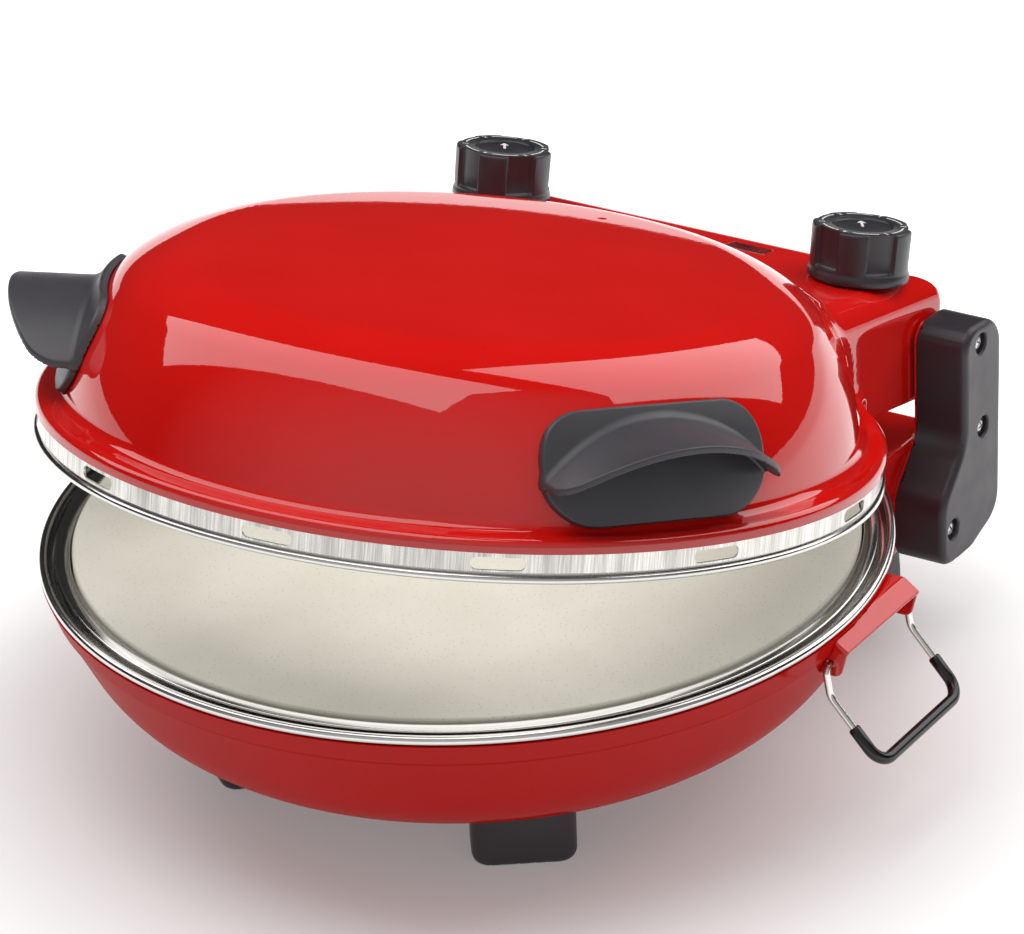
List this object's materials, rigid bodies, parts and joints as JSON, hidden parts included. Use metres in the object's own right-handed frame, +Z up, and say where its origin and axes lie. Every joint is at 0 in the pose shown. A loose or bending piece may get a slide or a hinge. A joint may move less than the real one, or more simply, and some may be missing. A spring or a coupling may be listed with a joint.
{
  "type": "electric_pizza_maker",
  "caption": "Round countertop pizza maker: stone disc in a steel bowl under a hinged red domed lid with two heat knobs, side grips and wire handles",
  "frame": {"origin": "On the table under the middle of the outline", "axes": "+Z up, -Y towards the user, +X to the user's right; the left and right halves mirror across X = 0"},
  "size_m": [0.3944, 0.3786, 0.2304],
  "materials": {
    "red_enamel": "gloss spray enamel on pressed steel",
    "polished_steel": "polished stainless sheet",
    "brushed_steel": "brushed stainless sheet, upright grain",
    "stone": "unglazed fired refractory clay",
    "black_plastic": "satin moulded heat-proof plastic",
    "knob_plastic": "satin moulded plastic",
    "wire_steel": "plated spring wire",
    "grip_plastic": "gloss sleeve",
    "zinc_steel": "zinc-plated steel",
    "element_steel": "oxidised heater tube",
    "ceramic": "glazed steatite",
    "insulation": "glass-fibre sleeved wire",
    "lens_red": "red translucent lens",
    "black_screw": "blackened steel"
  },
  "bodies": {
    "base": {"base_bowl": "red_enamel", "reflector_pan": "polished_steel", "baking_stone": "stone", "lower_element": "element_steel", "lower_element_clips": "zinc_steel", "front_foot_left": "black_plastic", "front_foot_right": "black_plastic", "rear_foot_left": "black_plastic", "rear_foot_right": "black_plastic", "foot_screws": "zinc_steel", "base_housing": "red_enamel", "terminal_block": "ceramic", "cable_gland": "knob_plastic", "hinge_bracket_left": "red_enamel", "hinge_bracket_right": "red_enamel", "hinge_pin_left": "zinc_steel", "hinge_pin_right": "zinc_steel", "arm_cover_left": "black_plastic", "arm_cover_right": "black_plastic", "arm_screws": "black_screw", "arm_wiring": "insulation", "handle_bracket_left": "red_enamel", "handle_bracket_right": "red_enamel"},
    "lid": {"lid_shell": "red_enamel", "lid_liner": "brushed_steel", "upper_element": "element_steel", "upper_element_clips": "zinc_steel", "lid_housing_cover": "black_plastic", "lid_hinge_plate_left": "zinc_steel", "lid_hinge_plate_right": "zinc_steel", "lid_handle_left": "black_plastic", "lid_handle_right": "black_plastic", "lid_handle_screws": "zinc_steel", "thermostat_left": "ceramic", "thermostat_right": "ceramic", "pilot_lens_left": "lens_red", "pilot_lens_right": "lens_red"},
    "knob_left_set": {"knob_left": "knob_plastic", "knob_cap_left": "knob_plastic", "shaft_left": "zinc_steel"},
    "wire_left": {"wire_handle_left": "wire_steel", "wire_grip_left": "grip_plastic"},
    "knob_right_set": {"knob_right": "knob_plastic", "knob_cap_right": "knob_plastic", "shaft_right": "zinc_steel"},
    "wire_right": {"wire_handle_right": "wire_steel", "wire_grip_right": "grip_plastic"}
  },
  "joints": [
    {"name": "lid_hinge", "type": "hinge", "parent": "base", "child": "lid", "pos_m": [0, 0.16428, 0.126], "axis": [-1, 0, 0], "range_deg": [-11.4, 80]},
    {"name": "knob_left_turn", "type": "hinge", "parent": "lid", "child": "knob_left_set", "pos_m": [-0.088, 0.15322, 0.1572], "axis": [0, -0.1977, -0.9803], "range_deg": [0, 270]},
    {"name": "wire_left_swing", "type": "hinge", "parent": "base", "child": "wire_left", "pos_m": [-0.1702, 0.01027, 0.078], "axis": [0, 1, 0], "range_deg": [0, 90]},
    {"name": "knob_right_turn", "type": "hinge", "parent": "lid", "child": "knob_right_set", "pos_m": [0.088, 0.15322, 0.1572], "axis": [0, -0.1977, -0.9803], "range_deg": [0, 270]},
    {"name": "wire_right_swing", "type": "hinge", "parent": "base", "child": "wire_right", "pos_m": [0.1702, 0.01027, 0.078], "axis": [0, -1, 0], "range_deg": [0, 90]}
  ]
}
